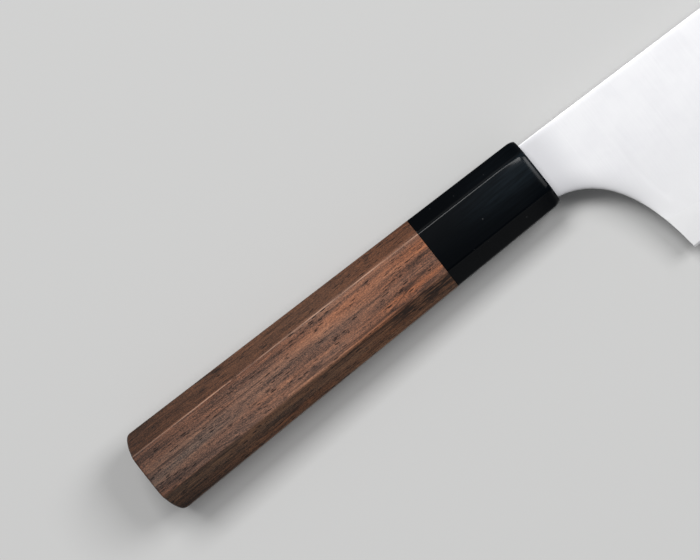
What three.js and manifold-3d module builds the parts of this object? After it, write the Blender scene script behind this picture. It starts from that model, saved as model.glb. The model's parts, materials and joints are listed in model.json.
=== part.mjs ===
// Bunka kitchen knife: a three-layer steel blade with a stick tang, glued into an octagonal wooden handle.
// It lies on its left side, as it comes to rest on a table: on the ferrule's front edge and the blade's tip.
// Millimetres, +Z up, +X towards the tip, +Y towards the spine, origin on the table under the knife's middle.

import * as THREE from "three";
import { mergeVertices, toCreasedNormals } from "three/addons/utils/BufferGeometryUtils.js";
import Module from "manifold-3d";

const wasm = await Module();
wasm.setup();

// Driving dimensions, in millimetres, with angles in degrees.

// Blade outline, in the blade's own frame: X from the ferrule's face, Y up from the straight spine, Z across.
const heelHeight = 51.2; // spine to edge at the heel
const edgeLength = 180; // heel to tip, along X
const neckLength = 21.8; // ferrule's face to the heel
const neckHeight = 17.6; // at the ferrule's face
const clipLength = 42; // straight fall of the spine to the tip, along X
const tipRise = 9; // tip above the level of the heel
const bellyPower = 2.6; // how late the edge rises to the tip
const choilNeckPull = 9.4; // reach of the choil's curve from the neck
const choilNeckAngle = 9.6; // its fall there, below X
const choilHeelPull = 24.7; // reach of the choil's curve from the heel
const choilHeelAngle = 5.9; // its lean there, back from upright

// Blade thickness: flat, tapering faces below the spine, then a convex grind to the edge.
const spineThickness = 3.4; // at the ferrule's face
const spineThicknessAtTip = 1.7; // of the spine's line carried on over the tip
const faceSlope = 0.016; // what each flat face loses per millimetre below the spine
const flatDepth = 18; // where the flat face gives way to the grind
const edgeShoulder = 0.24; // thickness at the top of the cutting bevel
const edgeBevelHeight = 0.6; // cutting bevel
const coreThickness = 1.2; // hard core between the claddings, at the ferrule's face
const coreThicknessAtTip = 0.6;
const weldGap = 0.02; // between core and cladding

// Handle, in its own frame: X along its middle from the ferrule's face (0) back to the butt.
const handleLength = 135; // ferrule and wood together
const ferruleLength = 36.3;
const mouthHeight = 21.5; // octagon at the ferrule's face
const mouthWidth = 17;
const mouthChamfer = 4.5;
const buttHeight = 25.6; // octagon at the butt
const buttWidth = 20.2;
const buttChamfer = 5.85;
const mouthEase = 1.2; // rounding round the ferrule's face
const buttEase = 0.5; // rounding round the butt
const buttCrown = 3; // how far the butt's middle stands out past its upper and lower edges
const buttFlat = 0.3; // share of its height, in the middle, that the crown leaves flat
const handleAboveSpine = 2.2; // handle's upper edge above the blade's spine, at the ferrule's face
const handleDroop = 0.28; // how far that edge falls away from the spine's line towards the butt

// Tang and what holds it inside the handle.
const tangLength = 92;
const tangRootHeight = 9;
const tangEndHeight = 5;
const tangThickness = 2.6;
const dowelDiameter = 13;
const dowelInHandle = 30; // the dowel's length in the wood
const dowelChamfer = 0.8;
const ferruleWall = 9; // solid front of the ferrule, ahead of the dowel
const pilotDiameter = 8; // hole for the tang's end, behind the dowel
const pilotSpare = 3; // pilot hole past the tang's end
const glueSpace = 1; // behind the dowel's end
const slotClearance = 0.6; // round the tang's root, in the dowel
const mouthClearance = 0.12; // round the tang's root, in the ferrule's mouth
const dowelClearance = 0.15; // round the dowel
const glueGap = 0.1; // glue line between pieces

// Facets.
const stationStep = 5; // along the blade
const grindSteps = 8; // across the convex grind
const curveSteps = 24; // along the choil's curve
const roundSteps = 40; // round a bore or the dowel
const easeSteps = 5; // across a rounded rim
const crownShares = [0.8, 0.55, 0.3, 0.15]; // rings of the crowned butt, from its middle out
const facetParts = 4; // along each side of the crowned butt's rings
const creaseAngle = 30; // sharper turns than this are shaded as edges
const cutSpare = 5; // how far a cutter runs past what it cuts

// Sizes that follow from the driving ones.
const radians = THREE.MathUtils.degToRad;
const heelX = neckLength;
const tipX = neckLength + edgeLength;
const tipY = tipRise - heelHeight;
const clipX = tipX - clipLength;
const handleTaper = Math.atan((buttHeight - mouthHeight) / 2 / handleLength);
const handleTilt = handleTaper + radians(handleDroop);
const handleAxisY = handleAboveSpine - mouthHeight / 2;
const dowelFront = -ferruleWall;
const dowelBack = -ferruleLength - dowelInHandle;
const pilotEnd = -tangLength - pilotSpare;
const slotHeight = tangRootHeight + 2 * slotClearance;
const slotWidth = tangThickness + 2 * slotClearance;

const coreSteel = new THREE.MeshStandardMaterial({ color: 0xc9cbcf, roughness: 0.28, metalness: 1 });
const claddingSteel = new THREE.MeshStandardMaterial({ color: 0xe2e3e6, roughness: 0.36, metalness: 1 });
const blackHorn = new THREE.MeshStandardMaterial({ color: 0x0c0f12, roughness: 0.22, metalness: 0 });
const rosewood = new THREE.MeshStandardMaterial({ color: 0x71553f, roughness: 0.55, metalness: 0 });
const dowelWood = new THREE.MeshStandardMaterial({ color: 0xc8ac7e, roughness: 0.7, metalness: 0 });
const epoxy = new THREE.MeshStandardMaterial({ color: 0x8a7f6a, roughness: 0.4, metalness: 0 });

// Shared helpers.

function solidOf(geometry, matrix = new THREE.Matrix4()) {
  const bare = geometry.clone().applyMatrix4(matrix);
  bare.deleteAttribute("normal");
  bare.deleteAttribute("uv");
  const merged = mergeVertices(bare);
  return new wasm.Manifold(
    new wasm.Mesh({
      numProp: 3,
      vertProperties: merged.attributes.position.array,
      triVerts: new Uint32Array(merged.index.array),
    }),
  );
}

function meshOf(name, solid, material) {
  const made = solid.getMesh();
  const geometry = new THREE.BufferGeometry();
  geometry.setAttribute("position", new THREE.BufferAttribute(made.vertProperties, 3));
  geometry.setIndex(new THREE.BufferAttribute(made.triVerts, 1));
  const mesh = new THREE.Mesh(toCreasedNormals(geometry, radians(creaseAngle)), material);
  mesh.name = name;
  return mesh;
}

// A closed skin over rings of points, each ring convex and all with the same count, in order along X.
function loft(rings) {
  const count = rings[0].length;
  const triangles = [];
  for (let r = 0; r + 1 < rings.length; r++) {
    for (let i = 0; i < count; i++) {
      const next = (i + 1) % count;
      const here = r * count;
      const ahead = here + count;
      triangles.push(here + i, here + next, ahead + next, here + i, ahead + next, ahead + i);
    }
  }
  const last = (rings.length - 1) * count;
  for (let i = 1; i + 1 < count; i++) {
    triangles.push(0, i + 1, i, last, last + i, last + i + 1);
  }
  const geometry = new THREE.BufferGeometry().setFromPoints(rings.flat());
  geometry.setIndex(triangles);
  return geometry;
}

// A flat outline in XY, thickened evenly to both sides of Z = 0.
function plate(shape, thickness) {
  const geometry = new THREE.ExtrudeGeometry(shape, {
    depth: thickness,
    bevelEnabled: false,
    curveSegments: curveSteps,
  });
  return geometry.translate(0, 0, -thickness / 2);
}

function rod(diameter, fromX, toX) {
  const geometry = new THREE.CylinderGeometry(diameter / 2, diameter / 2, toX - fromX, roundSteps);
  return geometry.rotateZ(Math.PI / 2).translate((fromX + toX) / 2, 0, 0);
}

function bar(height, width, fromX, toX) {
  return new THREE.BoxGeometry(toX - fromX, height, width).translate((fromX + toX) / 2, 0, 0);
}

// Handle sections.

function handleShare(x) {
  return -x / handleLength; // 0 at the ferrule's face, 1 at the butt
}

// One octagon of the handle at x, drawn in by inset on every side, each side in even parts.
function octagon(x, inset = 0, parts = 1) {
  const share = handleShare(x);
  const y = THREE.MathUtils.lerp(mouthHeight, buttHeight, share) / 2 - inset;
  const z = THREE.MathUtils.lerp(mouthWidth, buttWidth, share) / 2 - inset;
  const chamfer = THREE.MathUtils.lerp(mouthChamfer, buttChamfer, share) - inset * (2 - Math.SQRT2);
  const corners = [
    [y - chamfer, z],
    [chamfer - y, z],
    [-y, z - chamfer],
    [-y, chamfer - z],
    [chamfer - y, -z],
    [y - chamfer, -z],
    [y, chamfer - z],
    [y, z - chamfer],
  ].map(([py, pz]) => new THREE.Vector3(x, py, pz));
  return corners.flatMap((corner, i) => {
    const next = corners[(i + 1) % corners.length];
    return Array.from({ length: parts }, (_, k) => corner.clone().lerp(next, k / parts));
  });
}

// Quarter-round of a rim, in steps from its start: how far back from the end, and how far in from the side.
function rimSteps(ease) {
  return Array.from({ length: easeSteps + 1 }, (_, i) => {
    const angle = (i / easeSteps) * (Math.PI / 2);
    return { back: ease * (1 - Math.sin(angle)), inset: ease * (1 - Math.cos(angle)) };
  });
}

// One octagon of the crowned butt, set back the farther a point lies from the handle's middle.
function buttOctagon(back, inset) {
  const level = octagon(back - handleLength, inset, facetParts);
  return level.map((p, i) => {
    const off = Math.max(0, Math.abs(2 * p.y) / buttHeight - buttFlat) / (1 - buttFlat);
    const fall = buttCrown * (1 - Math.sqrt(Math.max(0, 1 - off ** 2)));
    return octagon(p.x + fall, inset, facetParts)[i];
  });
}

// Blade sections.

function edgeY(x) {
  const along = Math.max(0, (x - heelX) / edgeLength);
  return tipRise * along ** bellyPower - heelHeight;
}

function halfThickness(x, depth) {
  const spine = THREE.MathUtils.lerp(spineThickness, spineThicknessAtTip, x / tipX) / 2;
  const grindEnd = -edgeY(x) - edgeBevelHeight;
  const share = Math.max(0, (depth - flatDepth) / (grindEnd - flatDepth));
  const drop = spine - faceSlope * grindEnd - edgeShoulder / 2;
  return spine - faceSlope * depth - drop * share ** 2;
}

// A ring down the right face from above the spine to the edge, and back up the left face.
function bladeRing(x) {
  const depths = [-cutSpare, 0];
  const grindEnd = -edgeY(x) - edgeBevelHeight;
  for (let i = 0; i <= grindSteps; i++) {
    depths.push(THREE.MathUtils.lerp(flatDepth, grindEnd, i / grindSteps));
  }
  const right = depths.map((d) => new THREE.Vector3(x, -d, halfThickness(x, d)));
  const left = depths.map((d) => new THREE.Vector3(x, -d, -halfThickness(x, d))).reverse();
  return [...right, new THREE.Vector3(x, edgeY(x), 0), ...left];
}

function groundBody() {
  const from = -cutSpare;
  const to = tipX + cutSpare;
  const steps = Math.ceil((to - from) / stationStep);
  const rings = [];
  for (let i = 0; i <= steps; i++) {
    rings.push(bladeRing(THREE.MathUtils.lerp(from, to, i / steps)));
  }
  return loft(rings);
}

// The neck's end stands square to the handle, a glue line ahead of the ferrule's face.
function shoulderX(y) {
  return glueGap - (y - handleAxisY) * Math.tan(handleTilt);
}

// Spine, clip, choil and neck. The outline runs on past the edge, because the grind itself makes the edge.
function bladeOutline() {
  const neckAngle = radians(choilNeckAngle);
  const heelAngle = radians(choilHeelAngle);
  const belowEdge = -heelHeight - cutSpare;
  const clipSlope = clipLength / -tipY;
  const neckX = shoulderX(-neckHeight);
  const shape = new THREE.Shape();
  shape.moveTo(neckX, -neckHeight);
  shape.bezierCurveTo(
    neckX + choilNeckPull * Math.cos(neckAngle),
    -neckHeight - choilNeckPull * Math.sin(neckAngle),
    heelX - choilHeelPull * Math.sin(heelAngle),
    -heelHeight + choilHeelPull * Math.cos(heelAngle),
    heelX,
    -heelHeight,
  );
  shape.lineTo(heelX + cutSpare * Math.tan(heelAngle), belowEdge);
  shape.lineTo(tipX + (tipY - belowEdge) * clipSlope, belowEdge);
  shape.lineTo(clipX, 0);
  shape.lineTo(shoulderX(0), 0);
  return shape;
}

// Tang in the handle's frame, grown on every side by spare, from fromX back to its round end.
function tangSolid(fromX, spare, matrix) {
  const endRadius = tangEndHeight / 2;
  const taper = (tangRootHeight - tangEndHeight) / 2 / (tangLength - endRadius);
  const rootHalf = tangRootHeight / 2 + taper * fromX;
  const shape = new THREE.Shape();
  shape.moveTo(fromX, -rootHalf - spare);
  shape.lineTo(fromX, rootHalf + spare);
  shape.lineTo(endRadius - tangLength, endRadius + spare);
  shape.absarc(endRadius - tangLength, 0, endRadius + spare, Math.PI / 2, Math.PI * 1.5, false);
  return solidOf(plate(shape, tangThickness + 2 * spare), matrix);
}

// Blade: ground, cut to its outline, joined to the tang, then parted into core and claddings.

const handleMatrix = new THREE.Matrix4()
  .makeTranslation(0, handleAxisY, 0)
  .multiply(new THREE.Matrix4().makeRotationZ(handleTilt));

function bladeSolid() {
  const trimmed = solidOf(groundBody()).intersect(solidOf(plate(bladeOutline(), 2 * spineThickness)));
  return trimmed.add(tangSolid(cutSpare, 0, handleMatrix));
}

// One layer between two surfaces that are low and high across at the tang's end, the ferrule's face and the tip.
function layer(low, high) {
  const reach = heelHeight + cutSpare;
  const rings = [-tangLength - cutSpare, 0, tipX, tipX + cutSpare].map((x) => [
    new THREE.Vector3(x, reach, low(x)),
    new THREE.Vector3(x, reach, high(x)),
    new THREE.Vector3(x, -reach, high(x)),
    new THREE.Vector3(x, -reach, low(x)),
  ]);
  return solidOf(loft(rings));
}

function coreHalf(x) {
  const share = THREE.MathUtils.clamp(x / tipX, 0, 1);
  return THREE.MathUtils.lerp(coreThickness, coreThicknessAtTip, share) / 2;
}

function claddingInside(x) {
  return coreHalf(x) + weldGap;
}

const blade = bladeSolid();
const bladeCore = meshOf("blade_core", blade.intersect(layer((x) => -coreHalf(x), coreHalf)), coreSteel);
const rightCladding = meshOf(
  "right_cladding",
  blade.intersect(layer(claddingInside, () => spineThickness)),
  claddingSteel,
);
const leftCladding = meshOf(
  "left_cladding",
  blade.intersect(layer(() => -spineThickness, (x) => -claddingInside(x))),
  claddingSteel,
);

// Ferrule: a solid front with the tang's slot, bored from behind for the dowel.

function ferruleSolid() {
  const rim = rimSteps(mouthEase).map(({ back, inset }) => octagon(-back, inset));
  const body = [octagon(-ferruleLength), ...rim];
  const bore = rod(dowelDiameter, -ferruleLength - cutSpare, dowelFront);
  const mouthSlot = bar(
    tangRootHeight + 2 * mouthClearance,
    tangThickness + 2 * mouthClearance,
    dowelFront - cutSpare,
    cutSpare,
  );
  return solidOf(loft(body)).subtract(solidOf(bore)).subtract(solidOf(mouthSlot));
}

// Wooden handle: bored for the dowel, then drilled on for the tang's end.

function handleBodySolid() {
  const front = -ferruleLength - glueGap;
  const crown = crownShares.map((share) => buttOctagon(0, (share * buttWidth) / 2));
  const rim = rimSteps(buttEase).map(({ back, inset }) => buttOctagon(back, inset));
  const body = [...crown, ...rim.reverse(), octagon(front, 0, facetParts)];
  const bore = rod(dowelDiameter, dowelBack - glueSpace, front + cutSpare);
  const pilot = rod(pilotDiameter, pilotEnd, dowelBack);
  return solidOf(loft(body)).subtract(solidOf(bore)).subtract(solidOf(pilot));
}

// Dowel: joins ferrule and wood, slotted from end to end for the tang.

function dowelSolid() {
  const radius = dowelDiameter / 2 - dowelClearance;
  const front = dowelFront - glueGap;
  const profile = [
    [0, dowelBack],
    [radius - dowelChamfer, dowelBack],
    [radius, dowelBack + dowelChamfer],
    [radius, front - dowelChamfer],
    [radius - dowelChamfer, front],
    [0, front],
  ].map(([r, along]) => new THREE.Vector2(r, along));
  const body = new THREE.LatheGeometry(profile, roundSteps).rotateZ(-Math.PI / 2);
  const slot = bar(slotHeight, slotWidth, dowelBack - cutSpare, front + cutSpare);
  return solidOf(body).subtract(solidOf(slot));
}

// Bedding: the cured glue that fills the dowel's slot and the pilot hole round the tang.

function beddingSolid() {
  const back = dowelBack - glueSpace / 2;
  const inSlot = bar(slotHeight - 2 * glueGap, slotWidth - 2 * glueGap, back, dowelFront - glueGap);
  const inPilot = rod(pilotDiameter - 2 * glueGap, pilotEnd + glueGap, dowelBack - glueGap);
  const body = solidOf(inSlot).add(solidOf(inPilot));
  return body.subtract(tangSolid(0, glueGap));
}

const handle = new THREE.Group();
handle.position.set(0, handleAxisY, 0);
handle.rotation.z = handleTilt;
handle.add(meshOf("ferrule", ferruleSolid(), blackHorn));
handle.add(meshOf("handle_body", handleBodySolid(), rosewood));
handle.add(meshOf("tang_dowel", dowelSolid(), dowelWood));
handle.add(meshOf("tang_bedding", beddingSolid(), epoxy));

// At rest the knife tips forward over the ferrule's lower front edge until the blade meets the table.

function restTilt() {
  const pivotX = -mouthEase;
  const pivotZ = -octagon(pivotX)[0].z;
  let least = Math.PI / 2;
  for (const piece of [bladeCore, leftCladding]) {
    const points = piece.geometry.attributes.position;
    for (let i = 0; i < points.count; i++) {
      if (points.getX(i) > heelX) {
        least = Math.min(least, Math.atan2(points.getZ(i) - pivotZ, points.getX(i) - pivotX));
      }
    }
  }
  return least;
}

const knife = new THREE.Group();
knife.add(bladeCore, rightCladding, leftCladding, handle);
knife.rotation.y = restTilt();

const bounds = new THREE.Box3().setFromObject(knife, true);
const middle = bounds.getCenter(new THREE.Vector3());
knife.position.set(-middle.x, -middle.y, -bounds.min.z);

const part = new THREE.Group();
part.add(knife);

export default part;
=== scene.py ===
import json
import math
from collections import namedtuple

import bmesh
import bpy
from mathutils import Matrix, Vector


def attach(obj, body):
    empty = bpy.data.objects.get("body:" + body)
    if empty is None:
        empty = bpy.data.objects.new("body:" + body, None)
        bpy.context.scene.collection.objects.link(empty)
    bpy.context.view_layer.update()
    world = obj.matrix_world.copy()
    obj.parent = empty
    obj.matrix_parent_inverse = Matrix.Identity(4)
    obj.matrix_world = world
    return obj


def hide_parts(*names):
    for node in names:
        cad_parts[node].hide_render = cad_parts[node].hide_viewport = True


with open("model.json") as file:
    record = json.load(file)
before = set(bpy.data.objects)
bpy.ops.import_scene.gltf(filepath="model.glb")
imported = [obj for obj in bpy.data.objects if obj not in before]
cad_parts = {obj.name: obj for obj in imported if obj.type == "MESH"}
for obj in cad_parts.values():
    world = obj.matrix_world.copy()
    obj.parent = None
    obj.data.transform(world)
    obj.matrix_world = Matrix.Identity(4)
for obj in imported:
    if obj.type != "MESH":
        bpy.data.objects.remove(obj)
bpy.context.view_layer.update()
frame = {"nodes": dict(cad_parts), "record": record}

print("frame:", ", ".join(sorted(frame["nodes"])))


# Small helpers

def mix(low, high, share):
    return low + (high - low) * share


def clamp(value, low, high):
    return max(low, min(high, value))


def linearOf(level):  # a screen's level as linear light
    level = level / 255
    return level / 12.92 if level <= 0.04045 else ((level + 0.055) / 1.055) ** 2.4


def tint(red, green, blue):  # a colour as a screen shows it, 0 to 255
    return (linearOf(red), linearOf(green), linearOf(blue), 1.0)


# Node trees: a socket that takes part in sums

class Flow:
    def __init__(self, tree, socket=None):
        self.tree = tree
        self.socket = socket

    def node(self, kind, settings=None, inputs=None, out=0):
        made = self.tree.nodes.new(kind)
        for name, value in (settings or {}).items():
            if name == "stops":
                self.setStops(made.color_ramp, value)
            elif name == "items":
                while len(made.index_switch_items) < value:
                    made.index_switch_items.new()
            else:
                setattr(made, name, value)
        for name, value in (inputs or {}).items():
            for one in value if isinstance(value, list) else [value]:  # a list joins several links
                if isinstance(one, Flow):
                    self.tree.links.new(one.socket, made.inputs[name])
                else:
                    made.inputs[name].default_value = one
        return Flow(self.tree, made.outputs[out] if made.outputs else None)

    def setStops(self, ramp, stops):
        while len(ramp.elements) < len(stops):
            ramp.elements.new(0.5)
        for element, (place, colour) in zip(ramp.elements, stops):
            element.position = place
            element.color = colour

    def other(self, name):  # another output of the same node
        return Flow(self.tree, self.socket.node.outputs[name])

    def math(self, operation, *values):
        return self.node("ShaderNodeMath", {"operation": operation}, dict(enumerate(values)))

    def apply(self, operation, *values):  # the same, with this value first
        return self.math(operation, self, *values)

    def clamped(self):
        return self.apply("MAXIMUM", 0.0).apply("MINIMUM", 1.0)

    def fade(self, low, high):  # 0 below low, 1 above high, smooth between
        settings = {"interpolation_type": "SMOOTHSTEP"}
        return self.node("ShaderNodeMapRange", settings, {"Value": self, "From Min": low, "From Max": high})

    def blend(self, low, high):  # two colours, mixed by this value
        return self.node("ShaderNodeMix", {"data_type": "RGBA"}, {0: self, 6: low, 7: high}, out=2)

    def times(self, colour):  # two colours, multiplied
        settings = {"data_type": "RGBA", "blend_type": "MULTIPLY"}
        return self.node("ShaderNodeMix", settings, {0: 1.0, 6: self, 7: colour}, out=2)

    def __add__(self, other):
        return self.math("ADD", self, other)

    def __radd__(self, other):
        return self.math("ADD", other, self)

    def __sub__(self, other):
        return self.math("SUBTRACT", self, other)

    def __rsub__(self, other):
        return self.math("SUBTRACT", other, self)

    def __mul__(self, other):
        return self.math("MULTIPLY", self, other)

    def __rmul__(self, other):
        return self.math("MULTIPLY", other, self)

    def __truediv__(self, other):
        return self.math("DIVIDE", self, other)

    def __rtruediv__(self, other):
        return self.math("DIVIDE", other, self)

    def __gt__(self, other):
        return self.math("GREATER_THAN", self, other)

    def __lt__(self, other):
        return self.math("LESS_THAN", self, other)

    def __abs__(self):
        return self.apply("ABSOLUTE")


# Where the knife lies: the frames of blade and handle, in millimetres, set in the part's frame, in metres

millimetre = 0.001
handleForm = {
    "length": 135.0,  # ferrule and wood together
    "mouthHeight": 21.5,  # octagon at the ferrule's face
    "mouthWidth": 17.0,
    "mouthChamfer": 4.5,
    "buttHeight": 25.6,  # octagon at the butt
    "buttWidth": 20.2,
    "buttChamfer": 5.85,
    "aboveSpine": 2.2,  # upper edge above the blade's spine, at the ferrule's face
    "droop": 0.28,  # degrees by which it falls away from the spine's line
    "bladeMount": (60.0, -9.0, 0.0),  # blade point between its two face mounts
}


def restPose():
    mounts = {mount["name"]: mount for mount in frame["record"]["mounts"]}
    lean = 0.0
    middle = Vector()
    for side, up in (("right", 1), ("left", -1)):
        axis = mounts["handle_" + side + "_facet"]["axis"]
        lean += math.atan2(axis[0] * up, axis[2] * up) / 2
        middle += Vector(mounts["blade_" + side + "_face"]["pos_m"]) / 2
    turn = Matrix.Rotation(lean, 4, "Y") @ Matrix.Scale(millimetre, 4)
    return Matrix.Translation(middle - turn @ Vector(handleForm["bladeMount"])) @ turn


knifePlace = restPose()
handleTaper = math.atan((handleForm["buttHeight"] - handleForm["mouthHeight"]) / 2 / handleForm["length"])
handleTilt = handleTaper + math.radians(handleForm["droop"])
handleDrop = handleForm["mouthHeight"] / 2 - handleForm["aboveSpine"]
handleTurn = Matrix.Translation((0, -handleDrop, 0)) @ Matrix.Rotation(handleTilt, 4, "Z")
handlePlace = knifePlace @ handleTurn


# Materials: lengths and places in millimetres, depths of relief in metres

def surface(name, sockets):
    material = bpy.data.materials.new(name)
    material.use_nodes = True
    material.node_tree.nodes.clear()
    start = Flow(material.node_tree)
    shader = start.node("ShaderNodeBsdfPrincipled", {}, sockets(start))
    start.node("ShaderNodeOutputMaterial", {}, {"Surface": shader})
    return material


def localPoint(start, place):  # Object coordinates turned into a frame of the knife
    where, turn, scale = place.decompose()
    coords = start.node("ShaderNodeTexCoord").other("Object")
    sockets = {"Vector": coords, "Location": where, "Rotation": turn.to_euler("XYZ"), "Scale": scale}
    return start.node("ShaderNodeMapping", {"vector_type": "TEXTURE"}, sockets)


def split(point):
    parts = point.node("ShaderNodeSeparateXYZ", {}, {0: point})
    return parts, parts.other("Y"), parts.other("Z")


shiftWay = (1.7, -2.3, 3.1)  # which way a pattern moves on with its shift


def stretch(point, lengths, shift):  # the point measured in these lengths
    inverse = tuple(1 / length for length in lengths)
    away = tuple(part * shift for part in shiftWay)
    settings = {"operation": "MULTIPLY_ADD"}
    return point.node("ShaderNodeVectorMath", settings, {0: point, 1: inverse, 2: away})


def pattern(point, lengths, shift, detail=2.0, rough=0.5, middle=0.5, fade=None):  # noise, faded or about 0
    sockets = {"Vector": stretch(point, lengths, shift), "Scale": 1.0, "Detail": detail, "Roughness": rough}
    noise = point.node("ShaderNodeTexNoise", {"noise_dimensions": "3D"}, sockets)
    return noise.fade(*fade) if fade else noise - middle


def cells(point, lengths, shift):  # distance to a cell's middle, and the cell's own chance
    made = point.node("ShaderNodeTexVoronoi", {}, {"Vector": stretch(point, lengths, shift), "Scale": 1.0})
    chance = point.node("ShaderNodeSeparateColor", {}, {0: made.other("Color")})
    return made, chance


def weigh(parts, shares):  # a sum of patterns, each by its share
    return sum(parts[name] * share for name, share in shares.items())


def bump(height, depth):
    return height.node("ShaderNodeBump", {}, {"Height": height, "Distance": depth, "Strength": 1.0})


def arrisDistance(x, y, z):  # out past the arrises of the handle's two broad facets, sideways and upward
    share = x / -handleForm["length"]
    height, width, chamfer = (
        mix(handleForm["mouth" + name], handleForm["butt" + name], share)
        for name in ("Height", "Width", "Chamfer")
    )
    return abs(y) - height / 2 + chamfer, abs(z) - width / 2


rosewoodLook = {
    "pith": (20.0, 34.0),  # middle of the growth layers, below the handle's axis in Y and Z
    "pithRadius": 40.0,  # where the way round the pith is measured
    "lean": 0.02,  # how far the grain runs across, per mm along
    "bend": {"lengths": (48, 34, 34), "shift": 1.0, "detail": 1.0},
    "wander": 5.0,  # how far the grain bends
    "wanderDown": 0.5,  # share of it that goes downward
    "tones": [
        (0.14, tint(50, 37, 33)),
        (0.36, tint(91, 68, 57)),
        (0.50, tint(121, 88, 73)),
        (0.66, tint(148, 106, 84)),
        (0.90, tint(184, 132, 103)),
    ],
    "middleTone": 0.49,
    "broad": {"lengths": (90, 2.8, 16.0), "shift": 6.6},
    "streak": {"lengths": (30, 0.5, 4.0), "shift": 3.0, "detail": 3.0, "rough": 0.6},
    "fibre": {"lengths": (6, 0.28, 0.28), "shift": 4.0, "rough": 0.6},
    "grit": {"lengths": (0.4, 0.2, 0.2), "shift": 10.0, "rough": 0.6},
    "layerShares": {"broad": 1.2, "streak": 0.75},
    "fineShares": {"fibre": 0.75, "grit": 1.15},
    "spineCalm": 0.5,  # how much weaker the layers show on the spine side
    "vein": tint(46, 34, 31),  # dark lines and wild grain
    "line": {"lengths": (60, 1.6, 4.0), "shift": 5.0, "detail": 1.0, "middle": 0.47},
    "lineWidth": 0.03,
    "lineParts": {"lengths": (26, 2, 3), "shift": 6.0, "fade": (0.45, 0.6)},  # where the lines show
    "lineShare": 0.7,
    "wild": {"lengths": (6, 0.6, 0.6), "shift": 13.0, "detail": 3.0, "fade": (0.4, 0.52)},
    "wildPlace": (-45.0, -8.0),  # middle of a dark patch of wild grain at the lower arris, in X and Y
    "wildHalf": (18.0, 2.6),
    "wildRim": (0.2, 1.0),
    "wildShare": 0.9,
    "pore": tint(34, 26, 24),
    "pores": {"lengths": (2.8, 0.5, 0.5), "shift": 7.0},
    "poreRim": (0.26, 0.4),
    "poreCrowd": {"lengths": (10, 1.4, 3.0), "shift": 8.0, "fade": (0.5, 0.6)},
    "poreChance": (0.08, 0.7),  # everywhere, and on top of it where the pores crowd
    "poreShare": (0.55, 0.4),  # of the faintest pore, and on top of it in the darkest
    "poreDepth": 0.00005,
    "warmth": (0.5, -0.4, -1.05),  # red, green and blue of the warmer patches
    "warm": {"lengths": (50, 4.0, 6.0), "shift": 14.0},
    "warmSpread": 1.2,
    "warmEnd": (-75.0, -38.0),  # where the wood turns warmer, to the ferrule
    "warmEndTone": 0.15,
    "darkEnd": (-138.0, -104.0),  # where it turns darker, to the butt
    "darkEndTone": 0.665,
    "sides": (6.4, 7.6),  # from the middle, where the painted shade of the sides sets in
    # painted shade: the sides' facets are made darker, as they turn from the lamps
    "spineTone": (0.59, 0.53, 0.46),
    "edgeShade": (0.52, 0.53, 0.48),
    "wornHighlight": tint(226, 176, 146),  # rubbed arrises, with a painted highlight along them
    "wearHighlight": {"lengths": (14, 2, 2), "shift": 12.0, "detail": 3.0, "fade": (0.3, 0.65)},
    "wearHighlightRim": (0.08, 0.28),
    "wearHighlightStart": (-130.0, -95.0),  # where the rubbing and its painted highlight set in, from the butt
    "buttWearHighlight": 0.3,
    "edgeWearHighlight": 0.25,  # on the edge side, away from the lamps, where the painted highlight is weaker
    "wearHighlightShare": 0.65,
    "speck": tint(196, 186, 168),
    "dust": {"lengths": (2.6, 2.6, 2.6), "shift": 9.0},
    "dustRim": (0.02, 0.05),
    "dustChance": 0.93,
    "dustShare": 0.7,
    "rough": 0.42,
    "roughShares": {"pore": 0.3, "streak": -0.15, "grit": 0.2, "wearHighlight": -0.12},
    "reliefShares": {"fibre": 0.2, "grit": 0.2, "pore": -1.0},
}


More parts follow.
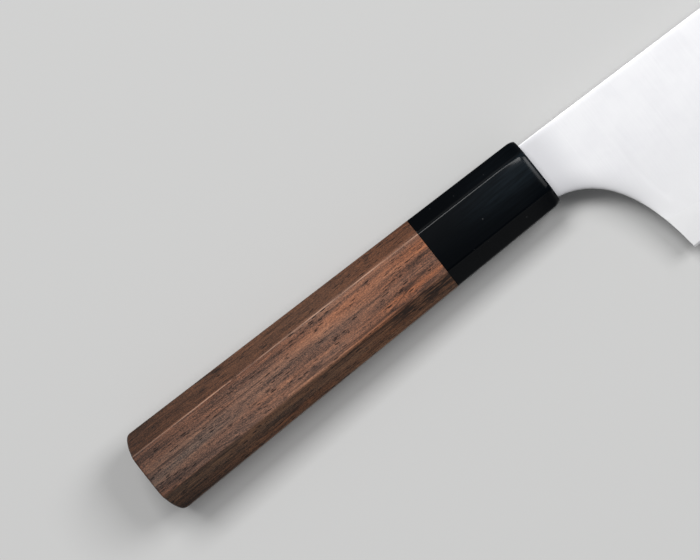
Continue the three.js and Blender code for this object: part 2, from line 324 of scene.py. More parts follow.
def rosewoodNodes(start):
    look = rosewoodLook
    point = localPoint(start, handlePlace)
    x, y, z = split(point)
    spineSide = y.fade(*look["sides"])
    edgeSide = (0 - y).fade(*look["sides"])

    # the grain runs along the handle, in layers round a pith
    bend = pattern(point, **look["bend"]) * look["wander"]
    across = y + x * look["lean"] + bend
    upward = z - bend * look["wanderDown"]
    flow = start.node("ShaderNodeCombineXYZ", {}, {0: x, 1: across, 2: upward})
    ringY = across + look["pith"][0]
    ringZ = upward + look["pith"][1]
    layer = (ringY * ringY + ringZ * ringZ).apply("SQRT")
    around = ringY.apply("ARCTAN2", ringZ) * look["pithRadius"]
    grain = start.node("ShaderNodeCombineXYZ", {}, {0: x, 1: layer, 2: around})
    parts = {name: pattern(grain, **look[name]) for name in look["layerShares"]}
    parts.update({name: pattern(flow, **look[name]) for name in look["fineShares"]})
    layers = weigh(parts, look["layerShares"]) * (1 - spineSide * look["spineCalm"])
    level = look["middleTone"] + layers + weigh(parts, look["fineShares"])
    colour = start.node("ShaderNodeValToRGB", {"stops": look["tones"]}, {0: level})

    # dark lines, wild grain and pores
    line = abs(pattern(grain, **look["line"])).fade(0.0, look["lineWidth"])
    vein = (1 - line) * pattern(grain, **look["lineParts"])
    wildX, wildY = look["wildPlace"]
    halfX, halfY = look["wildHalf"]
    off = ((x - wildX) / halfX).apply("POWER", 2.0) + ((y - wildY) / halfY).apply("POWER", 2.0)
    wild = (1 - off.fade(*look["wildRim"])) * pattern(flow, **look["wild"])
    dark = (vein * look["lineShare"]).apply("MAXIMUM", wild * look["wildShare"])
    colour = dark.blend(colour, look["vein"])
    cell, chance = cells(flow, **look["pores"])
    anywhere, crowded = look["poreChance"]
    faint, deep = look["poreShare"]
    pore = (1 - cell.fade(*look["poreRim"])) * (faint + chance.other("Green") * deep)
    pore = pore * (chance < anywhere + pattern(grain, **look["poreCrowd"]) * crowded)
    colour = pore.blend(colour, look["pore"])

    # warmer patches, darker towards the butt, and painted shade on the sides' facets, deeper on the edge
    # side
    warm = pattern(grain, **look["warm"]) * (look["warmSpread"] - spineSide)
    warm = warm + x.fade(*look["warmEnd"]) * look["warmEndTone"]
    endTone = mix(look["darkEndTone"], 1, x.fade(*look["darkEnd"]))
    tone = {}
    for number, warmth in enumerate(look["warmth"]):
        # painted shade on the sides' facets
        paintedSideShade = spineSide * (1 - look["spineTone"][number]) + edgeSide * (1 - look["edgeShade"][number])
        tone[number] = (1 + warm * warmth) * endTone * (1 - paintedSideShade)
    colour = colour.times(start.node("ShaderNodeCombineColor", {}, tone))

    # rubbed arrises with a painted highlight along them, and dust
    aside, above = arrisDistance(x, y, z)
    wearHighlight = 1 - (aside * aside + above * above).apply("SQRT").fade(*look["wearHighlightRim"])
    wearHighlight = wearHighlight * mix(look["edgeWearHighlight"], 1, y > 0) * pattern(flow, **look["wearHighlight"])
    wearHighlight = wearHighlight * mix(look["buttWearHighlight"], 1, x.fade(*look["wearHighlightStart"]))
    colour = (wearHighlight * look["wearHighlightShare"]).blend(colour, look["wornHighlight"])
    cell, chance = cells(point, **look["dust"])
    speck = (1 - cell.fade(*look["dustRim"])) * (chance > look["dustChance"])
    parts.update({"pore": pore, "wearHighlight": wearHighlight})
    return {
        "Base Color": (speck * look["dustShare"]).blend(colour, look["speck"]),
        "Roughness": look["rough"] + weigh(parts, look["roughShares"]),
        "Normal": bump(weigh(parts, look["reliefShares"]), look["poreDepth"]),
        "Specular IOR Level": 0.25,
    }


hornLook = {
    "dark": tint(2, 4, 7),
    # paler horn; towards the front and the spine side it is painted glow round the highlights
    "cloud": tint(23, 31, 37),
    "drift": {"lengths": (22, 7, 7), "shift": 1.0, "fade": (0.3, 0.7)},  # slow change of the cloud
    "driftRange": (0.5, 1.0),
    "streak": {"lengths": (9, 0.6, 0.6), "shift": 4.0, "detail": 3.0, "rough": 0.6, "fade": (0.3, 0.7)},
    "streakRange": (0.45, 1.25),
    "frontGlow": (-32.0, -4.0),  # painted glow: where the horn turns paler, to the front
    "backGlow": 0.1,
    "spineGlow": (-6.0, 3.0),  # and up to the spine side, also painted glow
    "edgeGlow": 0.2,
    "chamferShade": (0.0, 0.5),  # past the broad facets' arrises, where the cloud gives way to painted shade on the chamfers
    "chamferShadeShare": 0.25,
    "shine": 0.4,
    "front": (-6.0, -1.5),  # where the shine falls off, to the face
    "frontShine": 0.36,
    "dimmer": (-5.0, 8.0),  # where the shine falls off on the broad facets, from the spine to the edge side
    "dimShine": 0.2,
    "dimEnd": (0.0, 0.3),  # past the facets' arrises
    "buffed": (0.2, 0.8),  # past the same arrises, where the shine of the buffing ends
    "edgeBuffed": 0.75,  # share of it that is left on the edge side
    "scratch": {"lengths": (16, 0.16, 0.16), "shift": 2.0, "fade": (0.62, 0.75)},
    "scratchDepth": 0.0000012,
    "speck": tint(110, 110, 110),
    "dust": {"lengths": (2.4, 2.4, 2.4), "shift": 3.0},
    "dustRim": (0.03, 0.1),
    "dustChance": 0.75,
    "dustShare": 0.5,
    "rough": 0.3,
    "roughShares": {"scratch": 0.06, "speck": 0.3},
}


def blackHornNodes(start):
    look = hornLook
    point = localPoint(start, handlePlace)
    x, y, z = split(point)
    past = arrisDistance(x, y, z)[0]
    shine = mix(look["shine"], look["frontShine"], x.fade(*look["front"]))
    dim = mix(look["dimShine"], 1, y.fade(*look["dimmer"]))
    shine = shine * mix(dim, 1, past.fade(*look["dimEnd"]))
    shine = shine * mix(1, mix(look["edgeBuffed"], 0, y > 0), past.fade(*look["buffed"]))
    cloud = mix(*look["driftRange"], pattern(point, **look["drift"]))
    cloud = cloud * mix(*look["streakRange"], pattern(point, **look["streak"]))
    # painted glow to the front and the spine side, painted shade on the chamfers
    cloud = cloud * mix(look["backGlow"], 1, x.fade(*look["frontGlow"]))
    cloud = cloud * mix(look["edgeGlow"], 1, y.fade(*look["spineGlow"]))
    cloud = cloud * mix(1, look["chamferShadeShare"], past.fade(*look["chamferShade"]))
    cell, chance = cells(point, **look["dust"])
    speck = (1 - cell.fade(*look["dustRim"])) * (chance > look["dustChance"])
    parts = {"scratch": pattern(point, **look["scratch"]), "speck": speck}
    colour = cloud.blend(look["dark"], look["cloud"])
    return {
        "Base Color": (speck * look["dustShare"]).blend(colour, look["speck"]),
        "Roughness": look["rough"] + weigh(parts, look["roughShares"]),
        "Normal": bump(parts["scratch"], look["scratchDepth"]),
        "Specular IOR Level": 0.03,
        "Coat Weight": shine,
        "Coat Roughness": 0.2,
    }


toneRange = (-0.2, 0.2)  # of a sum of patterns, from one tone to the other


def plainNodes(start, place, look):
    point = localPoint(start, place)
    parts = {name: pattern(point, **settings) for name, settings in look["patterns"].items()}
    return {
        "Base Color": weigh(parts, look["toneShares"]).fade(*toneRange).blend(*look["tones"]),
        "Metallic": look["metallic"],
        "Roughness": look["rough"] + weigh(parts, look["roughShares"]),
        "Normal": bump(parts[look["relief"]], look["reliefDepth"]),
    }


claddingLook = {
    "patterns": {
        "hairline": {"lengths": (0.14, 14, 9), "shift": 1.0, "rough": 0.6},
        "band": {"lengths": (1.2, 20, 9), "shift": 2.0},
        "haze": {"lengths": (9, 7, 9), "shift": 5.0, "detail": 3.0},
    },
    "toneShares": {"hairline": 0.3, "band": 0.2, "haze": 0.5},
    "tones": (tint(234, 234, 236), tint(224, 224, 227)),
    "neck": tint(209, 209, 212),  # painted shade: greyer beside the ferrule, as a darker reflection
    "neckReach": (2.0, 13.0),
    "edgeLight": tint(250, 250, 251),  # painted light: brighter to the edge, where the ground face turns from the lamps
    "edgeLightReach": (18.0, 54.0),
    "metallic": 1.0,
    "rough": 0.46,
    "roughShares": {"hairline": 0.06, "band": 0.03, "haze": 0.05},
    "relief": "hairline",
    "reliefDepth": 0.0000005,
}


def claddingNodes(start):
    look = claddingLook
    sockets = plainNodes(start, knifePlace, look)
    x, y, z = split(localPoint(start, knifePlace))
    # painted light, brighter towards the edge
    edgeLight = (0 - y).fade(*look["edgeLightReach"]).blend(sockets["Base Color"], look["edgeLight"])
    # painted shade beside the ferrule
    sockets["Base Color"] = x.fade(*look["neckReach"]).blend(look["neck"], edgeLight)
    return sockets


coreLook = {
    "patterns": {
        "hairline": {"lengths": (0.14, 10, 9), "shift": 3.0, "rough": 0.6},
        "haze": {"lengths": (6, 3, 9), "shift": 4.0, "detail": 3.0},
    },
    "toneShares": {"hairline": 0.4, "haze": 0.6},
    "tones": (tint(248, 248, 249), tint(244, 244, 245)),
    "metallic": 1.0,
    "rough": 0.46,
    "roughShares": {"hairline": 0.06, "haze": 0.06},
    "relief": "hairline",
    "reliefDepth": 0.0000005,
}

dowelLook = {
    "patterns": {"grain": {"lengths": (30, 0.8, 2.4), "shift": 1.0, "detail": 3.0}},
    "toneShares": {"grain": 1.0},
    "tones": (tint(176, 146, 102), tint(208, 182, 138)),
    "metallic": 0.0,
    "rough": 0.6,
    "roughShares": {"grain": 0.3},
    "relief": "grain",
    "reliefDepth": 0.00003,
}

glueLook = {
    "patterns": {"cloud": {"lengths": (3, 3, 3), "shift": 1.0, "detail": 3.0}},
    "toneShares": {"cloud": 1.0},
    "tones": (tint(118, 108, 88), tint(150, 139, 116)),
    "metallic": 0.0,
    "rough": 0.35,
    "roughShares": {"cloud": 0.3},
    "relief": "cloud",
    "reliefDepth": 0.00004,
}

rosewood = surface("rosewood", rosewoodNodes)
blackHorn = surface("blackHorn", blackHornNodes)
claddingSteel = surface("claddingSteel", claddingNodes)
coreSteel = surface("coreSteel", lambda start: plainNodes(start, knifePlace, coreLook))
dowelWood = surface("dowelWood", lambda start: plainNodes(start, handlePlace, dowelLook))
curedGlue = surface("curedGlue", lambda start: plainNodes(start, handlePlace, glueLook))
print("materials:", len(bpy.data.materials))


# Pieces

creaseAngle = math.radians(30)  # sharper turns than this are shaded as edges
joinReach = 1e-7  # m, closer points than this become one
thinReach = 1e-8  # m, shorter edges than this go


def addPiece(name, mesh, node):  # a finished mesh in the part's frame stands for a node of it
    shape = bmesh.new()
    shape.from_mesh(mesh)
    bmesh.ops.remove_doubles(shape, verts=shape.verts, dist=joinReach)
    bmesh.ops.dissolve_degenerate(shape, edges=shape.edges, dist=thinReach)
    bmesh.ops.recalc_face_normals(shape, faces=shape.faces)
    openEdges = sum(not edge.is_manifold for edge in shape.edges)
    volume = shape.calc_volume(signed=True) / millimetre ** 3
    shape.to_mesh(mesh)
    shape.free()
    mesh.shade_smooth()
    mesh.set_sharp_from_angle(angle=creaseAngle)
    piece = bpy.data.objects.new(name, mesh)
    bpy.context.scene.collection.objects.link(piece)
    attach(piece, "root")
    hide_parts(node)
    print(f"{name}: {len(mesh.polygons)} faces, {volume:.0f} mm3, open edges {openEdges}")
    return piece


# Handle and ferrule: rings of one rounded octagon, from the joint between the two to each free end

octagonSizes = [
    "Joint Place", "Joint Height", "Joint Width", "Joint Chamfer",
    "Free Place", "Free Height", "Free Width", "Free Chamfer",
    "Rim", "Rim Reach", "Crown", "Arris", "Rim Arris", "Soft Reach", "Facet Fall", "Rim Fall",
    "Bore Diameter", "Bore Floor", "Tail Height", "Tail Width", "Tail Round", "Tail End", "Through",
]
corners = 8
arcPoints = 8  # round one arris: a point on each facet, and the arc between them
cornerPoints = 17  # the same and on along the next facet
ringPoints = corners * cornerPoints + 1  # the last closes on the first
softSteps = 8  # rings over the stretch where the facets soften, ahead of the rim
rimStart = softSteps + 2  # ring where the rim begins
rimSteps = 9
endSteps = 6  # rings from the rim in to the middle of a closed end
outsideRings = rimStart + rimSteps + endSteps + 1
insideRings = 6
facetHold = 0.08  # mm, keeps a facet flat up to its arris
facetPower = 7.0  # how late a softened facet falls away towards its arrises
crownFlat = 0.3  # share of a crowned end's height that stays flat
mergeReach = 0.0005  # mm
eighth = math.pi / 4
regular = 2 - math.sqrt(2)  # chamfer of an even octagon, as a share of its half height


def arrisPoint(corner, step, height, width, chamfer, arris, hold):  # round one corner of the octagon
    arc = ((step - 1) / (arcPoints - 3)).clamped()
    bisector = (corner + 0.5) * eighth
    turn = (corner + arc) * eighth
    cosMid = bisector.apply("COSINE")
    sinMid = bisector.apply("SINE")
    upright = abs(cosMid) > abs(sinMid)
    slide = ((step > arcPoints - 1.5) - (step < 0.5)) * hold
    pull = arris / math.cos(eighth / 2)
    cosTurn = turn.apply("COSINE")
    sinTurn = turn.apply("SINE")
    y = cosMid.apply("SIGN") * (height / 2 - chamfer * (1 - upright))
    z = sinMid.apply("SIGN") * (width / 2 - chamfer * upright)
    y = y - pull * cosMid + arris * cosTurn - slide * sinTurn
    z = z - pull * sinMid + arris * sinTurn + slide * cosTurn
    return y, z


def octagonPoint(point, along, *form):  # one point of a ring, by its number
    corner = (point / cornerPoints).apply("FLOOR")
    step = point - corner * cornerPoints
    onward = ((step - arcPoints + 1) / (cornerPoints - arcPoints + 1)).clamped()
    onward = (1 - (onward * math.pi).apply("COSINE")) / 2  # closer together towards the arrises
    here = arrisPoint(corner, step.apply("MINIMUM", arcPoints - 1), *form)
    ahead = arrisPoint(corner + 1, step * 0, *form)
    y, z = (mix(first, second, onward) for first, second in zip(here, ahead))
    return point.node("ShaderNodeCombineXYZ", {}, {0: along, 1: y, 2: z})


def softened(place, height, chamfer, fall):  # the two broad facets, rolled off towards their arrises
    x, y, z = split(place)
    facet = (abs(y) / (height / 2 - chamfer)).apply("POWER", facetPower)
    beyond = ((height / 2 - abs(y)) / chamfer).clamped()
    z = z - z.apply("SIGN") * fall * facet.apply("MINIMUM", beyond)
    return place.node("ShaderNodeCombineXYZ", {}, {0: x, 1: y, 2: z})


def pick(ring, values):  # the value for this ring
    inputs = {"Index": ring, **{place + 1: value for place, value in enumerate(values)}}
    return ring.node("GeometryNodeIndexSwitch", {"data_type": "FLOAT", "items": len(values)}, inputs)


def outsidePlace(size, ring, point):  # joint, softening facets, rim, and in to a closed end's middle
    joint = size["Joint Place"]
    reach = size["Free Place"] - joint
    side = reach.apply("SIGN")
    soft = ((ring - 1) / softSteps).clamped()
    rim = ((ring - rimStart) / rimSteps).clamped()
    live = 1 - ((ring - (rimStart + rimSteps)) / endSteps).clamped() * (1 - size["Through"])
    angle = rim * (math.pi / 2)
    inset = size["Rim"] * (1 - angle.apply("COSINE"))
    arris = mix(size["Arris"], size["Rim Arris"], rim)
    fall = mix(size["Facet Fall"] * soft * soft, size["Rim Fall"], rim)
    beforeRim = (ring < rimStart - 0.5) * (facetHold + size["Soft Reach"] * (1 - soft))
    back = size["Rim Reach"] * (1 - angle.apply("SINE")) + beforeRim
    level = mix(size["Free Place"] - side * back, joint, ring < 0.5)

    def placeAt(along):
        share = (along - joint) / reach
        height = (mix(size["Joint Height"], size["Free Height"], share) - inset * 2) * live
        width = (mix(size["Joint Width"], size["Free Width"], share) - inset * 2) * live
        chamfer = (mix(size["Joint Chamfer"], size["Free Chamfer"], share) - inset * regular) * live
        place = octagonPoint(point, along, height, width, chamfer, arris * live, live * facetHold)
        return softened(place, height, chamfer, fall * live)

    lift = abs(split(placeAt(level))[1]) * 2 / size["Free Height"]
    off = ((lift - crownFlat) / (1 - crownFlat)).clamped()
    crown = size["Crown"] * (1 - (1 - off * off).apply("SQRT"))
    return placeAt(level - side * crown * (ring > 0.5))


def insidePlace(size, ring, point):  # joint, bore, tail, and on to the front face or to the tail's middle
    joint = size["Joint Place"]
    boreFloor = size["Bore Floor"]
    tailEnd = size["Tail End"]
    through = size["Through"]
    boreRound = size["Bore Diameter"] / 2
    tailRound = size["Tail Height"] / 2 * size["Tail Round"]
    bore = (size["Bore Diameter"], size["Bore Diameter"], boreRound * regular, boreRound, 0.0, 0.0)
    tail = (size["Tail Height"], size["Tail Width"], tailRound * regular, tailRound, 0.0, 0.0)
    front = (
        size["Free Height"] - size["Rim"] * 2,
        size["Free Width"] - size["Rim"] * 2,
        size["Free Chamfer"] - size["Rim"] * regular,
        size["Rim Arris"],
        facetHold,
        size["Rim Fall"],
    )
    face = (size["Joint Height"], size["Joint Width"], size["Joint Chamfer"], size["Arris"], facetHold, 0.0)
    rings = [  # place, height, width, chamfer, arris, hold, fall
        (joint, *face),
        (joint, *bore),
        (boreFloor, *bore),
        (boreFloor, *tail),
        (tailEnd, *tail),
        (mix(tailEnd, size["Free Place"], through), *(value * through for value in front)),
    ]
    along, height, width, chamfer, arris, hold, fall = (pick(ring, values) for values in zip(*rings))
    return softened(octagonPoint(point, along, height, width, chamfer, arris, hold), height, chamfer, fall)


def octagonTree():
    tree = bpy.data.node_groups.new("octagonLoft", "GeometryNodeTree")
    tree.interface.new_socket("Geometry", in_out="OUTPUT", socket_type="NodeSocketGeometry")
    for name in octagonSizes:
        tree.interface.new_socket(name, in_out="INPUT", socket_type="NodeSocketFloat")
    tree.interface.new_socket("Finish", in_out="INPUT", socket_type="NodeSocketMaterial")
    start = Flow(tree)
    inlet = start.node("NodeGroupInput")
    size = {name: inlet.other(name) for name in octagonSizes}
    index = start.node("GeometryNodeInputIndex")
    ring = ((index + 0.5) / ringPoints).apply("FLOOR")
    point = index - ring * ringPoints
    shells = []
    for rings, shellPlace in ((outsideRings, outsidePlace), (insideRings, insidePlace)):
        flat = start.node("GeometryNodeMeshGrid", {}, {"Vertices X": rings, "Vertices Y": ringPoints})
        inputs = {"Geometry": flat, "Position": shellPlace(size, ring, point)}
        shells.append(start.node("GeometryNodeSetPosition", {}, inputs))
    whole = start.node("GeometryNodeJoinGeometry", {}, {"Geometry": shells})
    whole = start.node("GeometryNodeMergeByDistance", {}, {"Geometry": whole, "Distance": mergeReach})
    whole = start.node("GeometryNodeRealizeInstances", {}, {"Geometry": whole})
    finished = {"Geometry": whole, "Material": inlet.other("Finish")}
    whole = start.node("GeometryNodeSetMaterial", {}, finished)
    start.node("NodeGroupOutput", {}, {"Geometry": whole})
    return tree


def octagonPiece(tree, sizes, finish):
    holder = bpy.data.objects.new("octagonHolder", bpy.data.meshes.new("octagonHolder"))
    bpy.context.scene.collection.objects.link(holder)
    modifier = holder.modifiers.new("octagonLoft", "NODES")
    modifier.node_group = tree
    for socket in tree.interface.items_tree:
        if socket.in_out == "INPUT":
            modifier[socket.identifier] = finish if socket.name == "Finish" else sizes[socket.name]
    depsgraph = bpy.context.evaluated_depsgraph_get()
    mesh = bpy.data.meshes.new_from_object(holder.evaluated_get(depsgraph), depsgraph=depsgraph)
    holder.modifiers.remove(modifier)
    bpy.data.objects.remove(holder)
    mesh.transform(handlePlace)
    return mesh


def octagonAt(place, prefix):  # the handle's octagon at a place along it, 0 at the ferrule's face
    share = -place / handleForm["length"]
    sizes = {prefix + " Place": place}
    for name in ("Height", "Width", "Chamfer"):
        sizes[prefix + " " + name] = mix(handleForm["mouth" + name], handleForm["butt" + name], share)
    return sizes


ferruleForm = {
    "length": 36.3,
    "Rim": 0.85,  # rounding round the front face
    "Rim Reach": 2.3,
    "Crown": 0.0,
    "Arris": 0.8,
    "Rim Arris": 4.5,
    "Soft Reach": 8.0,  # where the broad facets begin to roll off, ahead of the rim
    "Facet Fall": 0.42,  # how far they have rolled off at the rim, and on the front face
    "Rim Fall": 0.1,
    "Bore Diameter": 13.0,  # for the dowel
    "Bore Floor": -9.0,
    "Tail Height": 9.24,  # slot for the tang
    "Tail Width": 2.84,
    "Tail Round": 0.0,
    "Tail End": 0.0,
    "Through": 1.0,
}
handleBodyForm = {
    "glueLine": 0.1,  # between ferrule and wood
    "Rim": 0.5,  # rounding round the butt
    "Rim Reach": 0.5,
    "Crown": 3.0,  # how far the butt's middle stands out past its upper and lower edges
    "Arris": 0.6,
    "Rim Arris": 1.0,
    "Soft Reach": 8.0,
    "Facet Fall": 0.0,
    "Rim Fall": 0.0,
    "Bore Diameter": 13.0,  # for the dowel
    "Bore Floor": -67.3,
    "Tail Height": 8.0,  # pilot hole for the tang's end
    "Tail Width": 8.0,
    "Tail Round": 1.0,
    "Tail End": -95.0,
    "Through": 0.0,
}
loft = octagonTree()
ferruleSizes = {**ferruleForm, **octagonAt(-ferruleForm["length"], "Joint"), **octagonAt(0.0, "Free")}
woodFront = -ferruleForm["length"] - handleBodyForm["glueLine"]
woodSizes = {**handleBodyForm, **octagonAt(woodFront, "Joint"), **octagonAt(-handleForm["length"], "Free")}
addPiece("hornFerrule", octagonPiece(loft, ferruleSizes, blackHorn), "ferrule")
addPiece("rosewoodHandle", octagonPiece(loft, woodSizes, rosewood), "handle_body")


# Blade: sections across it, set one after another from the tang's end to the tip

bladeForm = {
    "heelHeight": 51.2,  # spine to edge at the heel
    "edgeLength": 180.0,
    "neckLength": 21.8,  # ferrule's face to the heel
    "neckHeight": 17.6,
    "clipLength": 42.0,
    "tipRise": 9.0,
    "bellyPower": 2.6,  # how late the edge rises to the tip
    "choilNeck": (9.4, 9.6),  # reach of the choil's curve in mm, and its angle
    "choilHeel": (24.7, 5.9),
    "spine": (3.4, 1.7),  # thickness at the ferrule and over the tip
    "faceSlope": 0.016,
    "flatDepth": 18.0,
    "edgeShoulder": 0.24,
    "bevelHeight": 0.6,
    "core": (1.2, 0.6),
    "weldGap": 0.02,
    "weldWave": 0.022,  # how far the weld wanders across
    "weldWaves": [(7.3, 1.0, 0.0), (3.7, 0.7, 1.7), (16.0, 0.8, 0.6)],  # length, share, start of each
    "weldOnset": 12.0,  # how soon the wander sets in, from the ferrule
    "spineEase": (1.7, 0.05),  # rolled-off arrises: how far in over the face, and how deep
    "choilEase": (5.5, 0.2),
    "easeRoom": 0.45,  # most of the blade's height that one rolled-off arris takes
    "easeWall": 0.4,  # thinner cladding than this is rolled off less
    "leastLean": 0.15,  # keeps a steep outline from widening the rolled-off arris without end
    "glueLine": 0.1,
    "tangLength": 92.0,
    "tangHeight": (9.0, 5.0),  # at the root and at the round end
    "tangThickness": 2.6,
    "tangRelief": 0.01,  # sets the tang's layers in from the neck's
    "columnStep": 2.0,
    "choilColumns": 36,
    "choilSamples": 240,  # points that measure the distance to the choil
    "clipColumns": 30,
    "clipPower": 1.3,  # draws these columns together towards the tip
    "tangEndColumns": 6,
    "easeSteps": 8,
    "faceSteps": 16,
    "edgeSteps": 8,
    "bevelHold": 0.05,
    "mergeReach": 0.0002,
}
heelX = bladeForm["neckLength"]
tipX = heelX + bladeForm["edgeLength"]
clipX = tipX - bladeForm["clipLength"]
tipDepth = bladeForm["heelHeight"] - bladeForm["tipRise"]
Column = namedtuple("Column", "x top topLean bottom bottomLean")  # a lean is 1 where the outline is level


def edgeDepth(x):
    along = max(0.0, (x - heelX) / bladeForm["edgeLength"])
    return bladeForm["heelHeight"] - bladeForm["tipRise"] * along ** bladeForm["bellyPower"]


def grind(x):  # where the grind ends, its span, its drop, and the half thickness at the spine
    spine = mix(*bladeForm["spine"], x / tipX) / 2
    end = edgeDepth(x) - bladeForm["bevelHeight"]
    drop = spine - bladeForm["faceSlope"] * end - bladeForm["edgeShoulder"] / 2
    return end, end - bladeForm["flatDepth"], drop, spine


def faceHalf(x, depth):  # half thickness at a depth below the spine
    end, span, drop, spine = grind(x)
    if depth > end:
        return bladeForm["edgeShoulder"] / 2 * max(0.0, edgeDepth(x) - depth) / bladeForm["bevelHeight"]
    share = max(0.0, (depth - bladeForm["flatDepth"]) / span)
    return spine - bladeForm["faceSlope"] * depth - drop * share ** 2


def depthWhere(x, half):  # where the ground face has come down to a half thickness
    end, span, drop, spine = grind(x)
    fall = bladeForm["faceSlope"] * span
    rest = spine - bladeForm["faceSlope"] * bladeForm["flatDepth"] - half
    return bladeForm["flatDepth"] + span * (math.sqrt(fall ** 2 + 4 * drop * rest) - fall) / (2 * drop)


def coreHalf(x):
    share = clamp(x / tipX, 0.0, 1.0)
    onset = min(share * bladeForm["weldOnset"], 1.0)
    wave = sum(part * math.sin(x / length + start) for length, part, start in bladeForm["weldWaves"])
    return mix(*bladeForm["core"], share) / 2 + bladeForm["weldWave"] * wave * onset


def shoulderX(y):  # the neck's end stands square to the handle
    return bladeForm["glueLine"] - (y + handleDrop) * math.tan(handleTilt)


def choilPoint(t):
    neckReach, neckFall = bladeForm["choilNeck"]
    heelReach, heelLean = bladeForm["choilHeel"]
    neckFall = math.radians(neckFall)
    heelLean = math.radians(heelLean)
    first = Vector((shoulderX(-bladeForm["neckHeight"]), -bladeForm["neckHeight"]))
    last = Vector((heelX, -bladeForm["heelHeight"]))
    second = first + Vector((math.cos(neckFall), -math.sin(neckFall))) * neckReach
    third = last + Vector((-math.sin(heelLean), math.cos(heelLean))) * heelReach
    u = 1 - t
    place = first * u ** 3 + second * 3 * u * u * t + third * 3 * u * t * t + last * t ** 3
    slope = (second - first) * u * u + (third - second) * 2 * u * t + (last - third) * t * t
    return place, abs(slope.normalized().x)


def bladeColumns():
    columns = []
    steps = bladeForm["choilColumns"]
    for step in range(steps + 1):
        place, lean = choilPoint(step / steps)
        columns.append(Column(place.x, 0.0, 1.0, -place.y, max(lean, bladeForm["leastLean"])))
    steps = math.ceil((clipX - heelX) / bladeForm["columnStep"])
    for step in range(1, steps + 1):
        x = mix(heelX, clipX, step / steps)
        columns.append(Column(x, 0.0, 1.0, edgeDepth(x), 1.0))
    clipLean = bladeForm["clipLength"] / math.hypot(bladeForm["clipLength"], tipDepth)
    for step in range(bladeForm["clipColumns"] + 1):
        share = step / bladeForm["clipColumns"]
        x = mix(clipX, tipX, 1 - (1 - share) ** bladeForm["clipPower"])
        top = tipDepth * (x - clipX) / bladeForm["clipLength"]
        columns.append(Column(x, top, clipLean, edgeDepth(x), 1.0))
    return columns


choilSteps = bladeForm["choilSamples"]
choilLine = [choilPoint(step / choilSteps)[0] for step in range(choilSteps + 1)]


def rolledOff(distance, ease):  # how far the face has fallen away, at a distance in from its arris
    share = clamp(distance / ease[0], 0.0, 1.0)
    return ease[1] * (1 - math.sqrt(1 - (1 - share) ** 2))


def choilDistance(x, depth):
    here = Vector((x, -depth))
    return min((point - here).length for point in choilLine)


def easedPlaces(arris, reach):  # closer together towards the arris
    steps = bladeForm["easeSteps"]
    return [arris + reach * (1 - math.cos(step / steps * math.pi / 2)) for step in range(steps + 1)]


def between(first, last, steps):
    return [mix(first, last, step / steps) for step in range(1, steps)]


def claddingSection(column):
    x = column.x
    inner = coreHalf(x) + bladeForm["weldGap"]
    bottom = min(column.bottom, depthWhere(x, inner))
    top = min(column.top, bottom)
    room = (bottom - top) * bladeForm["easeRoom"]
    upper = easedPlaces(top, min(bladeForm["spineEase"][0] / column.topLean, room))
    lower = easedPlaces(bottom, -min(bladeForm["choilEase"][0] / column.bottomLean, room))[::-1]
    points = [(top, inner)]
    for depth in [*upper, *between(upper[-1], lower[0], bladeForm["faceSteps"]), *lower]:
        wall = faceHalf(x, depth) - inner
        fall = rolledOff((depth - top) * column.topLean, bladeForm["spineEase"])
        if x < heelX + bladeForm["choilEase"][0]:
            fall += rolledOff(choilDistance(x, depth), bladeForm["choilEase"])
        points.append((depth, inner + wall - fall * clamp(wall / bladeForm["easeWall"], 0.0, 1.0)))
    return [*points, (bottom, inner)]


def coreSection(column):
    x, top, bottom = column.x, column.top, column.bottom
    half = coreHalf(x)
    gap = bladeForm["weldGap"]
    hold = bladeForm["bevelHold"]
    shoulder = grind(x)[0]
    bare = clamp(depthWhere(x, half + gap) + gap, top, bottom)  # where the core comes out of the cladding
    lift = gap if bare < bottom else 0.0
    depths = [bare, *between(bare, clamp(shoulder - hold, bare, bottom), bladeForm["edgeSteps"])]
    depths += [clamp(shoulder + away, bare, bottom) for away in (-hold, 0.0, hold)]
    covered = [(depth, min(half, faceHalf(x, depth))) for depth in (top, bare)]
    return covered + [(depth, min(half + lift, faceHalf(x, depth))) for depth in [*depths, bottom]]


def tangHalfHeight(x):  # x along the handle, 0 at the ferrule's face
    root, end = (height / 2 for height in bladeForm["tangHeight"])
    middle = end - bladeForm["tangLength"]
    if x < middle:
        return math.sqrt(max(0.0, end ** 2 - (x - middle) ** 2))
    return mix(end, root, (x - middle) / -middle)


def tangPlaces():
    end = bladeForm["tangHeight"][1] / 2
    middle = end - bladeForm["tangLength"]
    steps = bladeForm["tangEndColumns"]
    roundEnd = [middle - end * math.cos(math.pi / 2 * step / steps) for step in range(steps + 1)]
    return [*roundEnd, bladeForm["glueLine"]]


def tangCladding(half):
    inner = coreHalf(0.0) + bladeForm["weldGap"] + bladeForm["tangRelief"]
    outer = bladeForm["tangThickness"] / 2
    corner = bladeForm["easeSteps"] + 1
    face = [(depth, outer) for depth in between(-half, half, bladeForm["faceSteps"])]
    return [(-half, inner), *[(-half, outer)] * corner, *face, *[(half, outer)] * corner, (half, inner)]


def tangCore(half):
    inner = coreHalf(0.0) - bladeForm["tangRelief"]
    lower = bladeForm["edgeSteps"] + 5  # makes as many points as the blade's own sections have
    return [(-half, inner), *[(half, inner)] * lower]


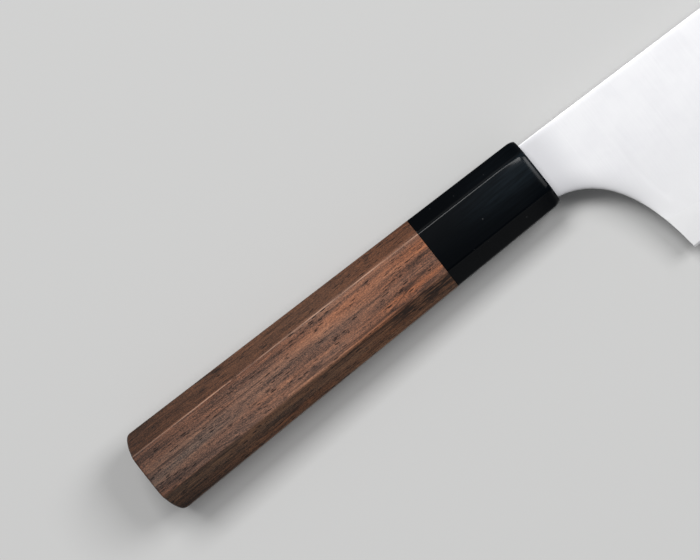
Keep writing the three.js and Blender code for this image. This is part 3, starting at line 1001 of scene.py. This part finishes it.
def bladeMesh(name, columns, section, tangSection, outline, finish):
    rings = []
    for x in tangPlaces():
        ring = outline(tangSection(tangHalfHeight(x)))
        rings.append([handleTurn @ Vector((x, -depth, z)) for depth, z in ring])
    for number, column in enumerate(columns):
        ring = outline(section(column))
        rings.append([Vector((column.x if number else shoulderX(-depth), -depth, z)) for depth, z in ring])
    shape = bmesh.new()
    made = [[shape.verts.new(point) for point in ring] for ring in rings]
    count = len(made[0])
    for here, ahead in zip(made, made[1:]):
        for one in range(count):
            after = (one + 1) % count
            shape.faces.new((here[one], here[after], ahead[after], ahead[one]))
    shape.faces.new(made[0])
    shape.faces.new(made[-1])
    bmesh.ops.remove_doubles(shape, verts=shape.verts, dist=bladeForm["mergeReach"])
    mesh = bpy.data.meshes.new(name)
    shape.to_mesh(mesh)
    shape.free()
    mesh.transform(knifePlace)
    mesh.materials.append(finish)
    return mesh


def rightSide(points):
    return points


def leftSide(points):
    return [(depth, -z) for depth, z in points]


def bothSides(points):
    return points + leftSide(points)[::-1]


columns = bladeColumns()
bare = [column.top > depthWhere(column.x, coreHalf(column.x) + bladeForm["weldGap"]) for column in columns]
cladColumns = columns[:bare.index(True) + 1]  # up to the first that is all core
for name, outline, node in (
    ("rightSteelCladding", rightSide, "right_cladding"),
    ("leftSteelCladding", leftSide, "left_cladding"),
):
    mesh = bladeMesh(name, cladColumns, claddingSection, tangCladding, outline, claddingSteel)
    addPiece(name, mesh, node)
coreMesh = bladeMesh("steelCore", columns, coreSection, tangCore, bothSides, coreSteel)
addPiece("steelCore", coreMesh, "blade_core")

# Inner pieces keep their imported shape
for node, finish in (("tang_dowel", dowelWood), ("tang_bedding", curedGlue)):
    frame["nodes"][node].data.materials.clear()
    frame["nodes"][node].data.materials.append(finish)


# Stage: floor, light and camera

stageLook = {
    "floor": tint(224, 224, 223),
    "floorSize": 24.0,
    "floorGap": 0.00005,  # keeps the floor just clear of what rests on it
    "sky": (0.13, 0.132, 0.135, 1.0),
    "boxes": [  # name, lean from upright, bearing from the blade, distance, width, height, watts
        ("spineBox", 27.0, 90.0, 2.5, 1.2, 0.9, 31.0),
        ("tipBox", 40.0, 4.0, 2.5, 0.9, 1.2, 24.8),
    ],
    "aim": (-0.05, 0.0, 0.01),
    "lens": 167.17,
    "sensor": 36.0,
    "cameraPlace": (-0.04745, -0.01455, 0.90001),
    "cameraTurn": (0.205, 3.745, -37.223),
}


def floorNodes(start):
    return {"Base Color": stageLook["floor"], "Roughness": 0.8, "Specular IOR Level": 0.2}


def addFloor():
    half = stageLook["floorSize"] / 2
    mesh = bpy.data.meshes.new("floor")
    low = -stageLook["floorGap"]
    square = [(-half, -half, low), (half, -half, low), (half, half, low), (-half, half, low)]
    mesh.from_pydata(square, [], [(0, 1, 2, 3)])
    mesh.materials.append(surface("paleFloor", floorNodes))
    floor = bpy.data.objects.new("floor", mesh)
    bpy.context.scene.collection.objects.link(floor)


def addSoftBox(name, lean, bearing, distance, width, height, watts):
    light = bpy.data.lights.new(name, "AREA")
    light.shape = "RECTANGLE"
    light.size = width
    light.size_y = height
    light.energy = watts
    box = bpy.data.objects.new(name, light)
    lean = math.radians(lean)
    bearing = math.radians(bearing)
    away = Vector((math.sin(lean) * math.cos(bearing), math.sin(lean) * math.sin(bearing), math.cos(lean)))
    box.location = Vector(stageLook["aim"]) + away * distance
    box.rotation_euler = away.to_track_quat("Z", "Y").to_euler()
    box.visible_camera = False
    bpy.context.scene.collection.objects.link(box)


def addSky():
    world = bpy.data.worlds.new("studio")
    world.use_nodes = True
    world.node_tree.nodes.clear()
    start = Flow(world.node_tree)
    glow = start.node("ShaderNodeBackground", {}, {"Color": stageLook["sky"], "Strength": 1.0})
    start.node("ShaderNodeOutputWorld", {}, {"Surface": glow})
    bpy.context.scene.world = world


def addCamera():
    data = bpy.data.cameras.new("camera")
    data.lens = stageLook["lens"]
    data.sensor_width = stageLook["sensor"]
    camera = bpy.data.objects.new("camera", data)
    camera.location = stageLook["cameraPlace"]
    camera.rotation_euler = [math.radians(angle) for angle in stageLook["cameraTurn"]]
    bpy.context.scene.collection.objects.link(camera)
    bpy.context.scene.camera = camera


addFloor()
for box in stageLook["boxes"]:
    addSoftBox(*box)
addSky()
addCamera()
bpy.context.scene.view_settings.view_transform = "Standard"
print("stage: floor, sky,", len(stageLook["boxes"]), "soft boxes, camera")
